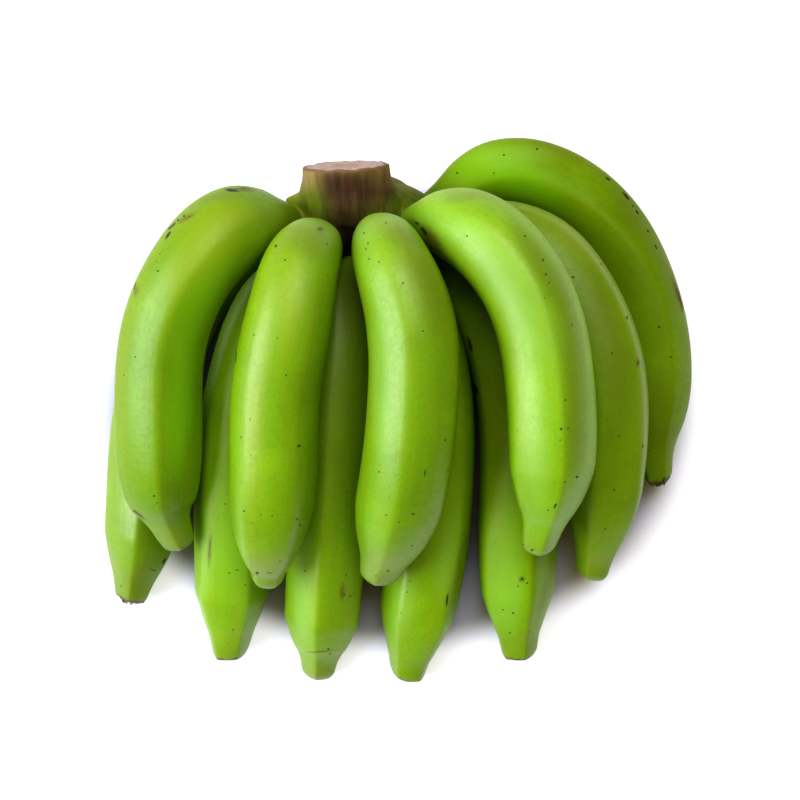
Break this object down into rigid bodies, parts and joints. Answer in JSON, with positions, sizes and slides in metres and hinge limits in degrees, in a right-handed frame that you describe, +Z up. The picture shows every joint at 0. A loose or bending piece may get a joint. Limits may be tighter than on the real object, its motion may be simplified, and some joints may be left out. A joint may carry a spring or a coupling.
{
  "type": "bunch of bananas",
  "caption": "Bunch of plump green bananas, curved and softly ridged fingers that fan out from a cut brown crown and lie on their tips.",
  "frame": {"origin": "middle of the bounding box at the level of the surface that the bunch lies on", "axes": "+Y towards the cut stem, +Z up, +X to the right of the stem when seen from above with the stem at the far side"},
  "size_m": [0.243, 0.2266, 0.0968],
  "materials": {
    "peel": "satin waxy peel",
    "crown": "dull fibrous stem"
  },
  "bodies": {
    "root": {"crown": "crown", "finger_a": "peel", "finger_b": "peel", "finger_c": "peel", "finger_d": "peel", "finger_e": "peel", "finger_f": "peel", "finger_g": "peel", "finger_h": "peel", "finger_i": "peel", "finger_j": "peel", "finger_k": "peel"}
  },
  "joints": []
}
